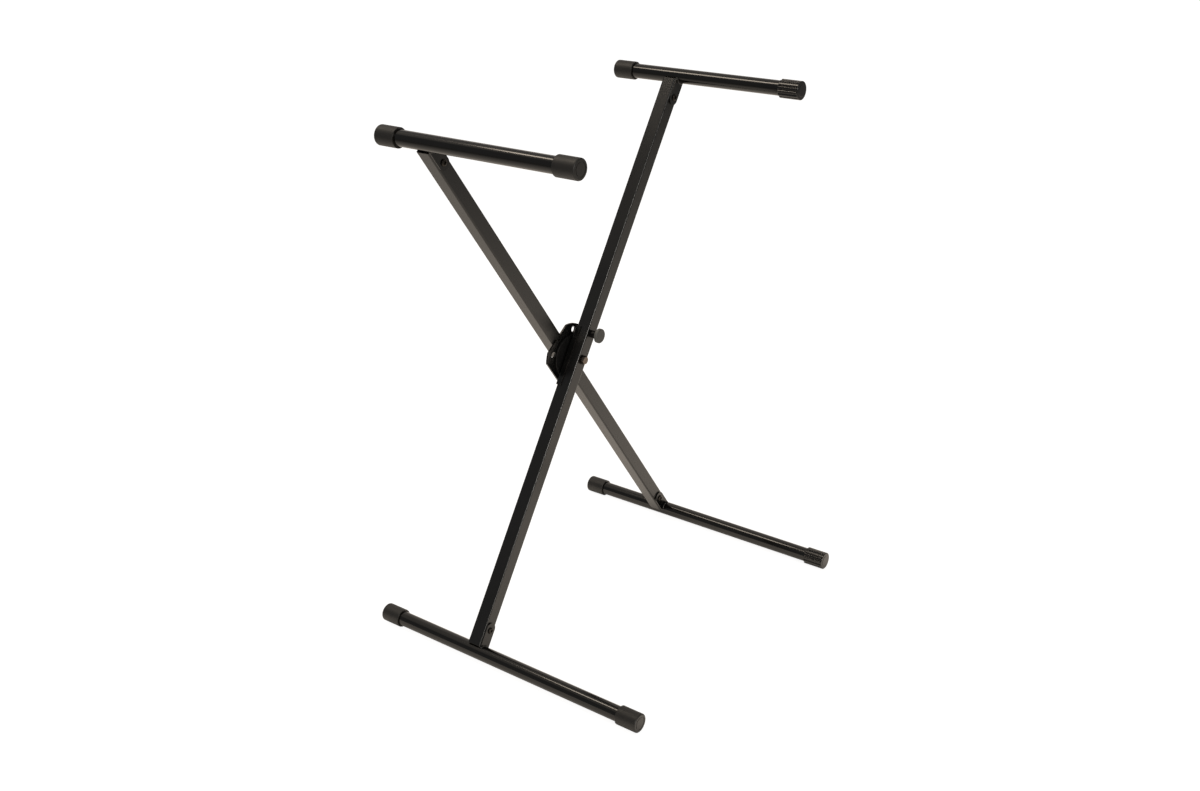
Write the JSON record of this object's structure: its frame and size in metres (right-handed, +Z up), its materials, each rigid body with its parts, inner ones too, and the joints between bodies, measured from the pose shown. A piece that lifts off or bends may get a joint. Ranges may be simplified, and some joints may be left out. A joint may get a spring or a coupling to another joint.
{
  "type": "keyboard stand",
  "caption": "Folding X-shaped stand: crossed square legs on a pivot, round foot and support bars with rubber caps, and a spring pin with pull knob that locks the spread.",
  "frame": {"origin": "on the floor, under the middle of the stand", "axes": "+Z up, +X across the spread towards the support bar of the front leg, +Y along the bars, away from the knob"},
  "size_m": [0.618, 0.542, 0.8847],
  "materials": {
    "leg_paint": "satin black powder coat on square steel tube",
    "bar_paint": "gloss black powder coat on round steel tube",
    "cap_rubber": "matt moulded black rubber",
    "plate_paint": "black powder coat on steel sheet",
    "black_nylon": "moulded black nylon",
    "knob_plastic": "moulded dark grey plastic",
    "washer_black": "black oxide steel",
    "pin_steel": "dark oxide steel",
    "pivot_steel": "zinc plated steel",
    "bolt_steel": "black zinc plated steel"
  },
  "bodies": {
    "front_leg": {"front_leg_tube": "leg_paint", "front_leg_saddle": "plate_paint", "front_pivot_bush": "pin_steel", "left_foot_tube": "bar_paint", "left_foot_cap_front": "cap_rubber", "left_foot_cap_rear": "cap_rubber", "left_foot_bracket": "plate_paint", "left_foot_bolt": "bolt_steel", "left_foot_nut": "bolt_steel", "right_support_tube": "bar_paint", "right_support_cap_front": "cap_rubber", "right_support_cap_rear": "cap_rubber", "right_support_bracket": "plate_paint", "right_support_bolt": "bolt_steel", "right_support_nut": "bolt_steel", "pivot_bolt": "pivot_steel", "pivot_washer_front": "washer_black", "pivot_washer_rear": "washer_black", "pivot_nut": "pivot_steel", "pin_guide": "black_nylon", "lock_spring": "pin_steel"},
    "rear_leg": {"rear_leg_tube": "leg_paint", "clutch_plate": "plate_paint", "spacer_disc": "black_nylon", "rear_pivot_bush": "pin_steel", "right_foot_tube": "bar_paint", "right_foot_cap_front": "cap_rubber", "right_foot_cap_rear": "cap_rubber", "right_foot_bracket": "plate_paint", "right_foot_bolt": "bolt_steel", "right_foot_nut": "bolt_steel", "left_support_tube": "bar_paint", "left_support_cap_front": "cap_rubber", "left_support_cap_rear": "cap_rubber", "left_support_bracket": "plate_paint", "left_support_bolt": "bolt_steel", "left_support_nut": "bolt_steel"},
    "lock_plunger": {"lock_pin": "pin_steel", "pin_clip": "pin_steel", "pull_knob": "knob_plastic"}
  },
  "joints": [
    {"name": "fold_hinge", "type": "hinge", "parent": "front_leg", "child": "rear_leg", "pos_m": [0, 0.0823, 0.44224], "axis": [0, 1, 0], "range_deg": [0, 65]},
    {"name": "lock_pin_slide", "type": "slide", "parent": "front_leg", "child": "lock_plunger", "axis": [0, 1, 0], "range_m": [-0.005, 0.003], "stiffness_N_per_m": 1000, "springref_m": 0.008, "deforming": ["lock_spring"]}
  ]
}
